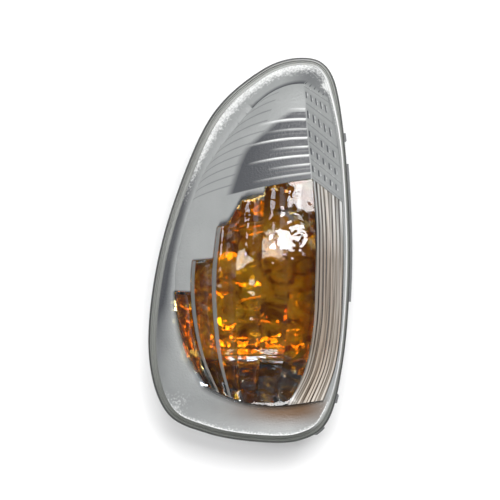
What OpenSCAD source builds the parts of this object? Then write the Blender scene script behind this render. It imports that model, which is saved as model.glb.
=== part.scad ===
// Side repeater lamp for a door mirror: clear fluted lens, metallised bowl,
// amber filter and a capless bulb, on a moulded housing with three screw bosses.
// The lamp lies on its back: +Z is the way the light leaves, +Y points to the
// narrow tip, and z = 0 is the plane of the three boss faces.

/* [Overall] */
// Length of the lens flange, from the wide end to the tip
lamp_length = 130; // [116:1:150]
// Width of the lens flange at its widest place
lamp_width = 68; // [62:1:80]
// Distance from the boss faces to the underside of the lens flange
rear_depth = 28; // [27.5:0.5:34]

/* [Lens] */
// Height of the ridge over the top of the flange
ridge_rise = 19; // [17.5:0.5:26]
// Height of the satin land over the top of the flange, at the window
land_rise = 7; // [6:0.5:10]
// Height of the foot of the satin land over the top of the flange
wall_rise = 5; // [3:0.5:5.5]
// Width of the flange round the lens
flange_w = 2.8; // [2.4:0.1:3.6]
// Thickness of the flange
flange_t = 2.4; // [1.8:0.1:3.2]
// Width of the groove that runs round in the flange
groove_w = 0.7; // [0.4:0.1:1]
// Depth of that groove
groove_depth = 0.5; // [0.3:0.1:0.8]
// Wall thickness of the lens
lens_t = 2; // [1.6:0.1:2.4]
// How far the side wall of the lens leans in
lens_draft = 0.8; // [0.4:0.1:1.2]
// Number of wide prism flutes in the window
flute_count = 6; // [5:1:7]
// Depth of a wide flute on the inner face
flute_depth = 0.9; // [0.5:0.1:1.2]
// Number of slats over the window
slat_count = 11; // [9:1:12]
// Depth of a slat on the inner face
slat_depth = 0.7; // [0.4:0.1:0.9]
// Number of fine flutes down the steep side
fine_count = 8; // [6:1:9]
// Depth of a fine flute on the inner face
fine_depth = 0.45; // [0.3:0.05:0.6]

/* [Housing] */
// Wall thickness of the housing
housing_t = 2; // [1.6:0.1:2.6]
// How far the housing wall stands back from the edge of the lens
housing_inset = 0.8; // [0.5:0.1:1.2]
// Height of the rim wall between the deck and the lens
rim_h = 4; // [3:0.5:6]
// Depth of the bulb chamber behind the deck
chamber_depth = 8; // [7:0.5:10]
// Radius of a screw boss
boss_r = 4.5; // [4:0.1:5]
// Radius of the pilot bore in a screw boss
pilot_r = 1.7; // [1.3:0.1:2.1]
// Depth of the pilot bore in a screw boss
pilot_depth = 14; // [10:0.5:16]
// How far the locating rail stands out past the housing wall
rail_proud = 1.6; // [1.2:0.1:2]

/* [Reflector and filter] */
// Wall thickness of the reflector
reflector_t = 1.6; // [1.2:0.1:1.8]
// Height of the reflector's flat floor over the inside of the chamber floor
floor_lift = 5; // [4.5:0.1:6]
// Height of the bowl from its flat floor to its upper edge
bowl_h = 11.5; // [10:0.5:12]
// Radius of the bowl's flat floor round the bulb
floor_r = 12; // [11:0.5:14]
// Share of the way up the bowl, in plan, at which the amber filter stands
filter_share = 0.75; // [0.65:0.05:0.8]
// Wall thickness of the amber filter
filter_t = 1.4; // [1:0.1:1.6]
// Height of the amber filter's inside over the tip of the bulb
filter_room = 0.7; // [0.4:0.1:1]

/* [Bulb and holder] */
// Radius of the bulb's glass
bulb_r = 5; // [4.6:0.1:5.2]
// Length of the bulb from the foot of its wedge to the tip of the glass
bulb_length = 27; // [26:0.5:28]
// Wall thickness of the bulb's glass
glass_t = 0.7; // [0.5:0.1:0.9]
// Width of the bulb's flat wedge base
wedge_w = 9.6; // [9:0.1:9.8]
// Thickness of the bulb's flat wedge base
wedge_t = 2.4; // [2.2:0.1:2.6]
// Length of the bulb's flat wedge base
wedge_h = 8; // [7.5:0.1:8.5]
// Radius of the bulb holder's nose
nose_r = 7.8; // [7.4:0.1:8]
// Radius of the bulb holder's flange
holder_flange_r = 14; // [13.5:0.1:15]
// Thickness of the bulb holder's flange
holder_flange_t = 2.5; // [2:0.1:2.8]
// Thickness of the seal when the holder is locked
seal_t = 1.5; // [1.2:0.1:1.8]
// Width of the connector socket
socket_w = 12.4; // [11.6:0.2:13]
// Height of the connector socket
socket_h = 9.6; // [9.4:0.2:11]
// Depth of the connector socket
socket_depth = 7.5; // [6.5:0.5:8]
// Width of a blade terminal
blade_w = 2.8; // [2.4:0.1:2.9]
// Thickness of a blade terminal
blade_t = 0.8; // [0.6:0.1:0.9]

/* [Fits] */
// Clearance round pieces that slip into each other
clearance = 0.3; // [0.2:0.05:0.4]

/* [Hidden] */

$fn = 64;

// Plan shapes are in shares of half the width and half the length.
outline_shape = [[-0.83, -0.845], [-0.42, -0.955], [0.08, -0.999], [0.5, -0.99],
    [0.78, -0.885], [0.92, -0.6], [0.99, -0.21], [0.99, 0.19], [0.92, 0.66],
    [0.8, 0.925], [0.54, 1], [0.12, 0.938], [-0.38, 0.7], [-0.745, 0.27],
    [-0.955, -0.155], [-1.005, -0.56]];
window_left = [[-0.41, -0.7], [-0.6, -0.53], [-0.705, -0.345], [-0.735, -0.16],
    [-0.69, 0.02], [-0.58, 0.22], [-0.4, 0.43], [0.03, 0.73]];
window_ridge = [[0.36, -0.79], [0.52, -0.615], [0.605, -0.385], [0.625, -0.14],
    [0.625, 0.11], [0.595, 0.355], [0.555, 0.6], [0.525, 0.85]];
window_right = [[0.72, -0.77], [0.84, -0.59], [0.895, -0.39], [0.913, -0.185],
    [0.915, 0.03], [0.905, 0.245], [0.875, 0.475], [0.76, 0.78]];
// Where the four corners of the window's grid meet the outline, in outline points
corner_steps = [0, 4.1, 8.5, 11.6, 16];
// Share of the window's length at which the slats begin
slat_start = 0.714;
// Share of the length at which each wide flute ends, as steps of the lower grid
flute_steps = [7, 8, 10, 11, 12, 12];
lower_steps = 12;

function lerp(a, b, t) = a + (b - a) * t;
function plan(p) = [p.x * lamp_width / 2, p.y * lamp_length / 2];
function spline(a, b, c, d, t) = 0.5 * (2 * b + (c - a) * t
    + (2 * a - 5 * b + 4 * c - d) * t * t + (3 * b - a - 3 * c + d) * t * t * t);
function loop_at(points, x) =
    let (n = len(points), i = floor(x), t = x - i)
    spline(points[(i + n - 1) % n], points[i % n], points[(i + 1) % n],
        points[(i + 2) % n], t);
function curve_at(points, u) =
    let (last = len(points) - 1, x = u * last, i = min(floor(x), last - 1), t = x - i)
    spline(points[max(i - 1, 0)], points[i], points[i + 1], points[min(i + 2, last)], t);
// Every point of a closed loop moved inwards by a distance
function inset(loop, distance) =
    let (n = len(loop))
    [for (i = [0 : n - 1])
        let (way = loop[(i + 1) % n] - loop[(i + n - 1) % n])
        loop[i] + [-way.y, way.x] * distance / norm(way)];
function smooth_loop(points, steps) =
    [for (i = [0 : steps - 1]) plan(loop_at(points, i * len(points) / steps))];

flange_top = rear_depth + flange_t;

// Grid over the window: s runs from 0 at the left edge over 1 at the ridge to 2
flute_facets = 3;
left_cells = flute_count * flute_facets;
right_cells = fine_count * 2;
s_cells = left_cells + right_cells;
v_cells = lower_steps + slat_count * 2;
ring_n = 2 * (s_cells + v_cells);

// Over 1 this makes the wide flutes narrower towards the left
flute_power = 1.18;
function s_of(i) = i <= left_cells ? pow(i / left_cells, flute_power)
    : 1 + (i - left_cells) / right_cells;
function v_of(j) = j <= lower_steps ? slat_start * j / lower_steps
    : lerp(slat_start, 1, (j - lower_steps) / (slat_count * 2));
function arch(t) = 4 * t * (1 - t);

slat_bow = 2.2;
// The slats arch further, most near the window's left edge and halfway up their zone
slat_arch = 2.6;
function slat_lift(s, v) =
    v <= slat_start ? 0
    : slat_arch * arch(sqrt(s)) * sin(180 * (v - slat_start) / (1 - slat_start));
function grid_plan(s, v) =
    let (left = plan(curve_at(window_left, v)), ridge = plan(curve_at(window_ridge, v)),
        right = plan(curve_at(window_right, v)))
    s <= 1
        ? lerp(left, ridge, s) + [0, arch(s) * slat_bow * (2 * v - 1) + slat_lift(s, v)]
        : lerp(ridge, right, s - 1);

ridge_end_share = 0.5;
side_rise = 6;
// Below 1 this makes the crown climb early from the satin land
crown_power = 0.7;
function grid_height(s, v) =
    let (ridge = ridge_rise * (1 - (1 - ridge_end_share) * pow(2 * v - 1, 2)))
    flange_top + (s <= 1 ? lerp(land_rise, ridge, pow(sin(90 * s), crown_power))
        : lerp(ridge, side_rise, pow(s - 1, 1.25)));

// Way from the outer to the inner face: down on the crown, inwards on the side
function wall_way(s) = s <= 1 ? [0, 0, -1]
    : let (t = min(1, 1.5 * (s - 1))) [-0.6 * t, 0, -1 + 0.2 * t];

block_rows = 4;
block_depth = 0.5;
// Extra thickness of the inner face: flutes, slats, fine flutes and optic blocks
function relief(i, j) =
    i == 0 || j == 0 || i == s_cells || j == v_cells ? 0
    : i == left_cells ? 0
    : i < left_cells ? (
        j > lower_steps ? ((j - lower_steps) % 2 == 1 ? slat_depth : 0)
        : let (flute = floor(i / flute_facets), across = i % flute_facets / flute_facets)
          j < flute_steps[min(flute, len(flute_steps) - 1)] ? flute_depth * arch(across)
        : 0)
    : j <= lower_steps ? ((i - left_cells) % 2 == 1 ? fine_depth : 0)
    : ((j - lower_steps) % block_rows >= 2 && (i - left_cells) % 3 == 1 ? block_depth : 0);

function outer_point(i, j) =
    let (s = s_of(i), v = v_of(j), p = grid_plan(s, v)) [p.x, p.y, grid_height(s, v)];
function inner_point(i, j) =
    outer_point(i, j) + wall_way(s_of(i)) * (lens_t + relief(i, j));

// Grid place of each step round the window's edge, anticlockwise from above
function edge_cell(k) =
    k < s_cells ? [k, 0]
    : k < s_cells + v_cells ? [s_cells, k - s_cells]
    : k < 2 * s_cells + v_cells ? [2 * s_cells + v_cells - k, v_cells]
    : [0, ring_n - k];
// Share of the window's width at a grid column
ridge_share = 0.72;
function width_share(i) = let (s = s_of(i))
    s <= 1 ? s * ridge_share : lerp(ridge_share, 1, s - 1);
function outline_step(k) =
    let (cell = edge_cell(k))
    k < s_cells ? lerp(corner_steps[0], corner_steps[1], width_share(cell[0]))
    : k < s_cells + v_cells ? lerp(corner_steps[1], corner_steps[2], v_of(cell[1]))
    : k < 2 * s_cells + v_cells
        ? lerp(corner_steps[2], corner_steps[3], 1 - width_share(cell[0]))
    : lerp(corner_steps[3], corner_steps[4], 1 - v_of(cell[1]));

outline = [for (k = [0 : ring_n - 1]) plan(loop_at(outline_shape, outline_step(k)))];
inward = inset(outline, 1) - outline;
// The flange is narrower down the steep side, by this share
side_share = 0.55;
function flange_share(k) =
    k <= s_cells || k >= s_cells + v_cells ? 1
    : lerp(1, side_share, min(1, 1.6 * arch(v_of(k - s_cells))));
// A ring that stands in by a part of the flange's width and a further distance
function ring(flange_part, further, height) = [for (k = [0 : ring_n - 1])
    let (p = outline[k] + inward[k] * (flange_part * flange_share(k) + further))
    [p.x, p.y, height]];

wall_top = flange_top + wall_rise;
wall_top_ring = ring(flange_w, lens_draft, wall_top);
land_share = 0.45;
land_crown = 0.5;
land_ring = [for (k = [0 : ring_n - 1])
    let (cell = edge_cell(k), p = outer_point(cell[0], cell[1]))
    lerp(wall_top_ring[k], p, land_share) + [0, 0, land_crown]];
shoulder_drop = 1;
shoulder_ring = ring(flange_w, lens_draft * 0.55, wall_top - shoulder_drop);
foot_ring = ring(flange_w, 0, flange_top);
groove_at = flange_w / 2;
groove_rings = [ring(groove_at + groove_w / 2, 0, flange_top),
    ring(groove_at, 0, flange_top - groove_depth),
    ring(groove_at - groove_w / 2, 0, flange_top)];
edge_break = 0.3;
edge_rings = [ring(0, 0, flange_top - edge_break), ring(0, 0, rear_depth)];
inner_rings = [ring(flange_w, lens_t, rear_depth),
    ring(flange_w, lens_draft + lens_t, wall_top - lens_t)];
rings = concat([land_ring, wall_top_ring, shoulder_ring, foot_ring], groove_rings,
    edge_rings, inner_rings);

module lens() {
    columns = s_cells + 1;
    grid_n = columns * (v_cells + 1);
    outer = [for (j = [0 : v_cells]) for (i = [0 : s_cells]) outer_point(i, j)];
    inner = [for (j = [0 : v_cells]) for (i = [0 : s_cells]) inner_point(i, j)];
    ring_points = [for (r = rings) for (p = r) p];
    // Rows of point numbers from the window's outer edge, round the flange, to its
    // inner edge
    rows = concat(
        [[for (k = [0 : ring_n - 1]) let (c = edge_cell(k)) c[1] * columns + c[0]]],
        [for (r = [0 : len(rings) - 1])
            [for (k = [0 : ring_n - 1]) 2 * grid_n + r * ring_n + k]],
        [[for (k = [0 : ring_n - 1])
            let (c = edge_cell(k)) grid_n + c[1] * columns + c[0]]]);
    outer_faces = [for (j = [0 : v_cells - 1]) for (i = [0 : s_cells - 1])
        let (a = j * columns + i, b = a + 1, c = b + columns, d = a + columns)
        each [[a, c, b], [a, d, c]]];
    inner_faces = [for (j = [0 : v_cells - 1]) for (i = [0 : s_cells - 1])
        let (a = grid_n + j * columns + i, b = a + 1, c = b + columns, d = a + columns)
        each [[a, b, c], [a, c, d]]];
    ring_faces = [for (r = [0 : len(rows) - 2]) for (k = [0 : ring_n - 1])
        let (m = (k + 1) % ring_n, a = rows[r][k], b = rows[r][m],
            c = rows[r + 1][m], d = rows[r + 1][k])
        each [[a, b, c], [a, c, d]]];
    color([0.8, 0.82, 0.82, 0.6])
        polyhedron(concat(outer, inner, ring_points),
            concat(outer_faces, inner_faces, ring_faces), convexity = 10);
}

// Housing levels: the deck carries the reflector, the chamber holds the bulb
deck_top = rear_depth - rim_h;
deck_low = deck_top - housing_t;
chamber_low = deck_low - chamber_depth;
chamber_floor = chamber_low + housing_t;

// Reflector and bulb levels
reflector_floor = chamber_floor + floor_lift;
bowl_top = reflector_floor + bowl_h;
holder_flange_top = chamber_low - seal_t;
holder_flange_low = holder_flange_top - holder_flange_t;
// The bulb's pocket starts in the holder's flange, so the bulb follows the chamber, and
// the connector socket hangs below it
pocket_rise = 0.1;
web_t = 2.6;
lead_r = 0.3;
pocket_low = holder_flange_low + pocket_rise;
holder_rear = pocket_low - web_t - socket_depth;
bulb_foot = pocket_low + blade_t + 2 * lead_r + clearance;
bulb_shoulder = bulb_foot + wedge_h;
bulb_tip = bulb_foot + bulb_length;
nose_top = bulb_shoulder - clearance;

bulb_spot = plan([0.04, -0.31]);
boss_spots = [plan([0.48, 0.77]), plan([-0.56, -0.8]), plan([0.56, -0.8])];
// Each pilot bore in turn is this much shallower than the one before
pilot_step = 0.2;

// Bowl: a round floor under the filter opens out to a free outline below the window
bowl_shape = [[-0.4, -0.71], [0, -0.78], [0.4, -0.75], [0.65, -0.55], [0.72, -0.2],
    [0.71, 0.15], [0.58, 0.37], [0.24, 0.335], [-0.1, 0.24], [-0.44, 0.11], [-0.7, -0.12],
    [-0.67, -0.48]];
bowl_sides = 48;
bowl_steps = 6;
bowl_power = 1.8;
facet_depth = 0.35;
bowl_edge = smooth_loop(bowl_shape, bowl_sides);
// The floor circle, with each point on the ray to the bowl's edge
floor_circle = [for (p = bowl_edge)
    bulb_spot + (p - bulb_spot) * floor_r / norm(p - bulb_spot)];
function bowl_loop(t) =
    [for (k = [0 : bowl_sides - 1]) lerp(floor_circle[k], bowl_edge[k], t)];
function bowl_share(height) = pow(max(height, 0) / bowl_h, 1 / bowl_power);
// Deck opening: the bowl's section at the deck, with its wall and a clearance
opening_loop = inset(bowl_loop(bowl_share(deck_top - reflector_floor)),
    -reflector_t - 2 * clearance);
chamber_gap = 0.4;
chamber_inner = inset(opening_loop, -chamber_gap);
chamber_outer = inset(opening_loop, -chamber_gap - housing_t);
ledge_w = 3.5;
ledge_t = 1.6;
ledge_outer = inset(opening_loop, -ledge_w);
// Screws that hold the reflector, by their place round the bowl
screw_steps = [3, 19, 37];
screw_r = 1.3;
screw_reach = 6;
screw_end = 1;
screw_boss_h = screw_reach;
head_r = 2.6;
head_h = 1.8;
screw_boss_r = 2.8;
// The heads stand just clear of the chamber's wall
screw_out = chamber_gap + housing_t + head_r + clearance;
screw_spots = [for (k = screw_steps) inset(opening_loop, -screw_out)[k]];

module slab(loop, low, high) {
    translate([0, 0, low]) linear_extrude(high - low) polygon(loop);
}

// How far a cut runs on past the face that it opens
over = 1;
screw_play = 0.2;
housing_steps = 96;
housing_loop = smooth_loop(outline_shape, housing_steps);
rib_t = 1.6;
rib_h = 5;
// Lengths of the right edge, in shares, where the housing shows past the lens
edge_tabs = [[-0.27, 0.45], [0.57, 0.61], [-0.8, -0.76], [-0.965, -0.93]];
spigot_r = 2.5;
spigot_bore_r = 1.2;
spigot_h = 5;
breather_spot = plan([-0.04, 0.62]);
bayonet_w = 4;
bayonet_out = 2.2;
wing_play = 0.2;
wing_t = 2;

// Three bayonet wings round the holder's nose, or the notches that they pass
module bayonet_wings(low, high, gap, turn) {
    for (a = [0 : 120 : 240])
        translate([bulb_spot.x, bulb_spot.y, low]) rotate(a + turn)
            translate([0, -bayonet_w / 2 - gap, 0])
                cube([nose_r + bayonet_out + gap, bayonet_w + 2 * gap, high - low]);
}

// A straight rib on the back of the deck from one place to another
module deck_rib(from, to) {
    way = to - from;
    translate([from.x, from.y, deck_low - rib_h]) rotate(atan2(way.y, way.x))
        translate([0, -rib_t / 2, 0]) cube([norm(way), rib_t, rib_h + 0.5]);
}

module housing_body() {
    wall_outer = inset(housing_loop, housing_inset);
    difference() {
        union() {
            slab(wall_outer, deck_low, rear_depth);
            slab(chamber_outer, chamber_low, deck_top);
            for (p = boss_spots) translate([p.x, p.y, 0]) cylinder(r = boss_r, h = deck_top);
            translate([breather_spot.x, breather_spot.y, deck_low - spigot_h])
                cylinder(r = spigot_r, h = spigot_h + housing_t / 2);
            deck_rib(boss_spots[0], plan([-0.1, 0.3]));
            deck_rib(boss_spots[0], plan([0.6, 0.2]));
            deck_rib(boss_spots[1], plan([-0.36, -0.6]));
            deck_rib(boss_spots[2], plan([0.36, -0.6]));
        }
        slab(inset(housing_loop, housing_inset + housing_t), deck_top, rear_depth + over);
        slab(chamber_inner, chamber_floor, deck_top + over);
        translate([bulb_spot.x, bulb_spot.y, chamber_low - over])
            cylinder(r = nose_r + clearance, h = housing_t + 2 * over);
        bayonet_wings(chamber_low - over, chamber_floor + over, clearance, 0);
        for (k = [0 : len(boss_spots) - 1])
            translate([boss_spots[k].x, boss_spots[k].y, -over])
                cylinder(r = pilot_r, h = pilot_depth - k * pilot_step + over);
        for (p = screw_spots)
            translate([p.x, p.y, deck_low - over])
                cylinder(r = screw_r + screw_play, h = housing_t + 2 * over);
        translate([breather_spot.x, breather_spot.y, deck_low - spigot_h - over])
            cylinder(r = spigot_bore_r, h = spigot_h + housing_t + 2 * over);
    }
}

// Rail and nubs that locate the lamp in its door mirror
module edge_tab(range) {
    low = range[0] * lamp_length / 2;
    high = range[1] * lamp_length / 2;
    intersection() {
        difference() {
            slab(inset(housing_loop, housing_inset - rail_proud), deck_low, rear_depth);
            slab(inset(housing_loop, housing_inset + 0.3 * housing_t), deck_low - over,
                rear_depth + over);
        }
        translate([0, low, deck_low]) cube([lamp_width, high - low, rear_depth - deck_low]);
    }
}

module housing() {
    color([0.36, 0.37, 0.38]) union() {
        housing_body();
        for (range = edge_tabs) edge_tab(range);
    }
}

// Section of the reflector as loops: up the inside of the bowl, over its edge, down
// the outside to the ledge, round the ledge and under the floor to the bulb's hole
module reflector_shell() {
    hole = [for (p = floor_circle)
        bulb_spot + (p - bulb_spot) * (nose_r + clearance) / floor_r];
    function lift(loop, height) = [for (p = loop) [p.x, p.y, height]];
    // Every second facet of the bowl's inside is raised, so it scatters the light
    function facet(row, k) =
        row > 0 && row < bowl_steps && (k + row) % 2 == 1 ? facet_depth : 0;
    inside = [for (row = [0 : bowl_steps])
        let (t = row / bowl_steps, loop = bowl_loop(t),
            height = reflector_floor + bowl_h * pow(t, bowl_power))
        [for (k = [0 : bowl_sides - 1]) [loop[k].x, loop[k].y, height + facet(row, k)]]];
    ledge_share = bowl_share(deck_top + ledge_t - reflector_floor);
    outside = [for (k = [bowl_steps : -1 : 0])
        let (t = lerp(ledge_share, 1, k / bowl_steps))
        lift(inset(bowl_loop(t), -reflector_t),
            reflector_floor + bowl_h * pow(t, bowl_power))];
    under_loop = inset(bowl_loop(bowl_share(deck_top - reflector_floor)), -reflector_t);
    loops = concat([lift(hole, reflector_floor - reflector_t), lift(hole, reflector_floor)],
        inside, outside,
        [lift(ledge_outer, deck_top + ledge_t), lift(ledge_outer, deck_top),
            lift(under_loop, deck_top),
            lift(inset(floor_circle, -1), reflector_floor - reflector_t)]);
    n = bowl_sides;
    rows = len(loops);
    points = [for (l = loops) each l];
    faces = [for (r = [0 : rows - 1]) for (k = [0 : n - 1])
        let (m = (k + 1) % n, q = (r + 1) % rows, a = r * n + k, b = r * n + m,
            c = q * n + m, d = q * n + k)
        each [[a, b, c], [a, c, d]]];
    polyhedron(points, faces, convexity = 6);
}

module reflector() {
    color([0.85, 0.86, 0.87]) difference() {
        union() {
            reflector_shell();
            for (p = screw_spots)
                translate([p.x, p.y, deck_top])
                    cylinder(r = screw_boss_r, h = screw_boss_h);
        }
        for (p = screw_spots)
            translate([p.x, p.y, deck_top - over])
                cylinder(r = screw_r, h = screw_reach - housing_t + screw_end + over);
    }
}

module reflector_screws() {
    color([0.7, 0.7, 0.68])
        for (p = screw_spots) translate([p.x, p.y, 0]) {
            translate([0, 0, deck_low - head_h]) cylinder(r = head_r, h = head_h);
            translate([0, 0, deck_low]) cylinder(r = screw_r, h = screw_reach);
        }
}

// Plan of the amber filter: the bowl's section, cut straight across below the bulb
filter_cut = 18;
filter_top = bulb_tip + filter_room + filter_t;
filter_rows = 6;
filter_gap = 0.6;
filter_plan = [for (p = inset(bowl_loop(filter_share), 2 * clearance))
    [p.x, max(p.y, bulb_spot.y - filter_cut)]];
// Height of the bowl's inside under a point of the plan, on the ray to edge point k
function bowl_height(p, k) =
    let (reach = norm(p - bulb_spot), far = norm(bowl_edge[k] - bulb_spot),
        t = max(0, (reach - floor_r) / (far - floor_r)))
    reflector_floor + bowl_h * pow(t, bowl_power);
filter_foot = [for (k = [0 : bowl_sides - 1]) bowl_height(filter_plan[k], k) + filter_gap];
// One ring of the dome: row 0 is the foot, and the last row closes round the top
function dome_ring(thin, row) =
    let (a = 88 * row / filter_rows, spread = pow(cos(a), 0.55), climb = pow(sin(a), 0.8))
    [for (k = [0 : bowl_sides - 1])
        let (out = filter_plan[k] - bulb_spot, shrink = spread * (1 - thin / norm(out)),
            p = bulb_spot + out * shrink)
        [p.x, p.y, lerp(filter_foot[k], filter_top - thin, climb)]];

module amber_filter() {
    n = bowl_sides;
    loops = concat([for (row = [0 : filter_rows]) dome_ring(0, row)],
        [for (row = [filter_rows : -1 : 0]) dome_ring(filter_t, row)]);
    rows = len(loops);
    tops = [[bulb_spot.x, bulb_spot.y, filter_top],
        [bulb_spot.x, bulb_spot.y, filter_top - filter_t]];
    points = concat([for (l = loops) each l], tops);
    // The strip between the two top rings is left out, and each ring has its own fan
    strips = [for (r = [0 : rows - 1]) for (k = [0 : n - 1]) if (r != filter_rows)
        let (m = (k + 1) % n, q = (r + 1) % rows, a = r * n + k, b = r * n + m,
            c = q * n + m, d = q * n + k)
        each [[a, c, b], [a, d, c]]];
    fans = [for (k = [0 : n - 1])
        let (m = (k + 1) % n, a = filter_rows * n, b = a + n)
        each [[a + k, rows * n, a + m], [b + m, rows * n + 1, b + k]]];
    color([0.85, 0.45, 0.05, 0.8])
        polyhedron(points, concat(strips, fans), convexity = 6);
}

lead_spread = 2.2;
filament_z = bulb_foot + 0.63 * bulb_length;
filament_r = 0.25;
glass_floor = 1.5;

module bulb_glass() {
    color([0.9, 0.92, 0.93, 0.5]) translate([bulb_spot.x, bulb_spot.y, 0])
        difference() {
            union() {
                translate([-wedge_w / 2, -wedge_t / 2, bulb_foot])
                    cube([wedge_w, wedge_t, wedge_h + 0.5]);
                translate([0, 0, bulb_shoulder])
                    cylinder(r = bulb_r, h = bulb_tip - bulb_r - bulb_shoulder);
                translate([0, 0, bulb_tip - bulb_r]) sphere(r = bulb_r);
            }
            translate([0, 0, bulb_shoulder + glass_floor])
                cylinder(r = bulb_r - glass_t,
                    h = bulb_tip - bulb_r - bulb_shoulder - glass_floor);
            translate([0, 0, bulb_tip - bulb_r]) sphere(r = bulb_r - glass_t);
            for (side = [-1, 1]) translate([side * lead_spread, 0, bulb_foot - over])
                cylinder(r = lead_r, h = wedge_h + glass_floor + 2 * over);
        }
}

// A lead comes out of the wedge's foot and is folded up along its face
module bulb_lead(side) {
    lead_w = 2 * lead_r;
    translate([bulb_spot.x + side * lead_spread, bulb_spot.y, 0]) union() {
        translate([0, 0, bulb_foot - lead_w / 2])
            cylinder(r = lead_r, h = filament_z + lead_w - bulb_foot);
        translate([-lead_r, side > 0 ? -wedge_t / 2 - lead_w : -lead_r, bulb_foot - lead_w])
            cube([lead_w, wedge_t / 2 + lead_w + lead_r, lead_w]);
        translate([-lead_r, side > 0 ? -wedge_t / 2 - lead_w : wedge_t / 2,
                bulb_foot - lead_w])
            cube([lead_w, lead_w, wedge_h / 2]);
    }
}

module bulb_leads() {
    color([0.75, 0.72, 0.66]) {
        bulb_lead(-1);
        bulb_lead(1);
    }
}

module bulb_filament() {
    color([0.4, 0.4, 0.42])
        translate([bulb_spot.x - lead_spread + lead_r, bulb_spot.y, filament_z])
            rotate([0, 90, 0]) cylinder(r = filament_r, h = 2 * (lead_spread - lead_r));
}

contact_gap = wedge_t / 2 + 2 * lead_r;
pocket_half = contact_gap + blade_t + clearance;
blade_spread = 2.9;
blade_low = holder_rear + 1;
leaf_high = bulb_foot + wedge_h / 2;

// Stamped contact: blade in the socket, step to one side, leaf against the lead
module contact(side) {
    color([0.78, 0.66, 0.38])
        translate([bulb_spot.x + side * blade_spread - blade_w / 2, bulb_spot.y, 0]) union() {
            translate([0, -blade_t / 2, blade_low])
                cube([blade_w, blade_t, pocket_low + blade_t - blade_low]);
            translate([0, side > 0 ? -contact_gap - blade_t : -blade_t / 2, pocket_low])
                cube([blade_w, contact_gap + 1.5 * blade_t, blade_t]);
            translate([0, side > 0 ? -contact_gap - blade_t : contact_gap, pocket_low])
                cube([blade_w, blade_t, leaf_high - pocket_low]);
        }
}

module contact_left() {
    contact(-1);
}

module contact_right() {
    contact(1);
}

socket_wall = 1.6;
grip_t = 2;
grip_h = 5;
grip_in = 1.5;
latch_w = 4;
latch_h = 2;

module bulb_holder() {
    x = bulb_spot.x;
    y = bulb_spot.y;
    color([0.2, 0.2, 0.21]) difference() {
        union() {
            translate([x, y, holder_flange_low]) cylinder(r = holder_flange_r, h = holder_flange_t);
            translate([x, y, holder_flange_top])
                cylinder(r = nose_r, h = nose_top - holder_flange_top);
            translate([x - socket_w / 2 - socket_wall, y - socket_h / 2 - socket_wall,
                    holder_rear])
                cube([socket_w + 2 * socket_wall, socket_h + 2 * socket_wall,
                    holder_flange_low + holder_flange_t / 2 - holder_rear]);
            translate([x - holder_flange_r + grip_in, y - grip_t / 2,
                    holder_flange_low - grip_h])
                cube([2 * (holder_flange_r - grip_in), grip_t, grip_h + holder_flange_t / 2]);
            translate([x - latch_w / 2, y + socket_h / 2 + socket_wall, holder_rear + latch_h])
                cube([latch_w, latch_h / 2, latch_h]);
            bayonet_wings(chamber_floor + wing_play, chamber_floor + wing_t, 0, 60);
        }
        translate([x - socket_w / 2, y - socket_h / 2, holder_rear - over])
            cube([socket_w, socket_h, socket_depth + over]);
        translate([x - wedge_w / 2 - clearance, y - pocket_half, pocket_low])
            cube([wedge_w + 2 * clearance, 2 * pocket_half, nose_top]);
        for (side = [-1, 1])
            translate([x + side * blade_spread - blade_w / 2, y - blade_t / 2,
                    pocket_low - web_t - over])
                cube([blade_w, blade_t, web_t + 2 * over]);
    }
}

seal_in = 0.5;
seal_w = 2.9;

module holder_seal() {
    color([0.12, 0.12, 0.12])
        translate([bulb_spot.x, bulb_spot.y, holder_flange_top]) difference() {
            cylinder(r = holder_flange_r - seal_in, h = seal_t);
            translate([0, 0, -over])
                cylinder(r = holder_flange_r - seal_in - seal_w, h = seal_t + 2 * over);
        }
}

cap_wall = 1.3;
membrane_t = 0.3;
cap_play = 1;
cap_short = 1.2;

module breather_cap() {
    color([0.1, 0.1, 0.1])
        translate([breather_spot.x, breather_spot.y, deck_low - spigot_h - cap_play - cap_wall])
            difference() {
                cylinder(r = spigot_r + cap_wall,
                    h = cap_wall + cap_play + spigot_h - cap_short);
                translate([0, 0, cap_wall]) cylinder(r = spigot_r, h = spigot_h + cap_play);
            }
}

module breather_membrane() {
    color([0.95, 0.95, 0.95])
        translate([breather_spot.x, breather_spot.y, deck_low - spigot_h - membrane_t])
            cylinder(r = spigot_r - 0.2, h = membrane_t);
}

lens();
housing();
reflector();
amber_filter();
bulb_glass();
bulb_leads();
bulb_filament();
bulb_holder();
holder_seal();
contact_left();
contact_right();
reflector_screws();
breather_cap();
breather_membrane();
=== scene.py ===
# %% [markdown]
# # A side repeater lamp, dressed for the camera
# The lamp sits in a car's door mirror and here lies on its back. The camera sees its lens,
# with a bright bowl and an amber filter inside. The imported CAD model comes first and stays
# fixed. Everything below either gives one of its pieces a better surface or stands in for it
# with a finer mesh of the same form.

# %% Load the frame
import math

import bpy
import numpy as np
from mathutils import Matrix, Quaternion, Vector


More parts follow.
